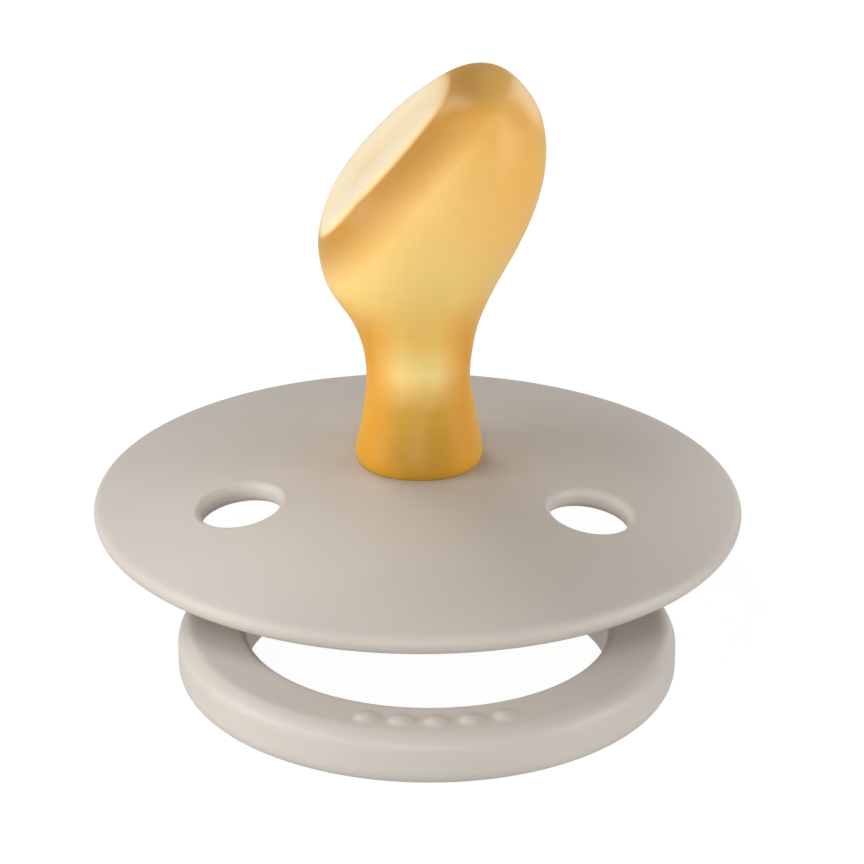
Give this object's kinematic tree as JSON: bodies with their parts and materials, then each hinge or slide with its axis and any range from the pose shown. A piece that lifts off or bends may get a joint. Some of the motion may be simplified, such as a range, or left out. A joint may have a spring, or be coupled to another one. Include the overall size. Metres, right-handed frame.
{
  "type": "pacifier",
  "caption": "Round-shield soother with a hollow latex teat, vented domed shield, knob and a handle ring hinged in the knob.",
  "frame": {"origin": "centre of the knob's flat base, on the surface the soother stands on", "axes": "+Z from the knob's base towards the teat, along the shield's axis; -Y towards the folded handle ring; X along the ring's hinge line"},
  "size_m": [0.043, 0.0518, 0.0352],
  "materials": {
    "shield": "satin",
    "teat": "translucent natural latex, soft gloss",
    "locking_plug": "satin",
    "knob_cap": "satin",
    "handle_ring": "satin"
  },
  "bodies": {
    "soother_body": {"shield": "shield", "teat": "teat", "locking_plug": "locking_plug", "knob_cap": "knob_cap"},
    "handle": {"handle_ring": "handle_ring"}
  },
  "joints": [
    {"name": "ring_hinge", "type": "hinge", "parent": "soother_body", "child": "handle", "pos_m": [0, 0, 0.0019], "axis": [1, 0, 0], "range_deg": [-2, 180]}
  ]
}
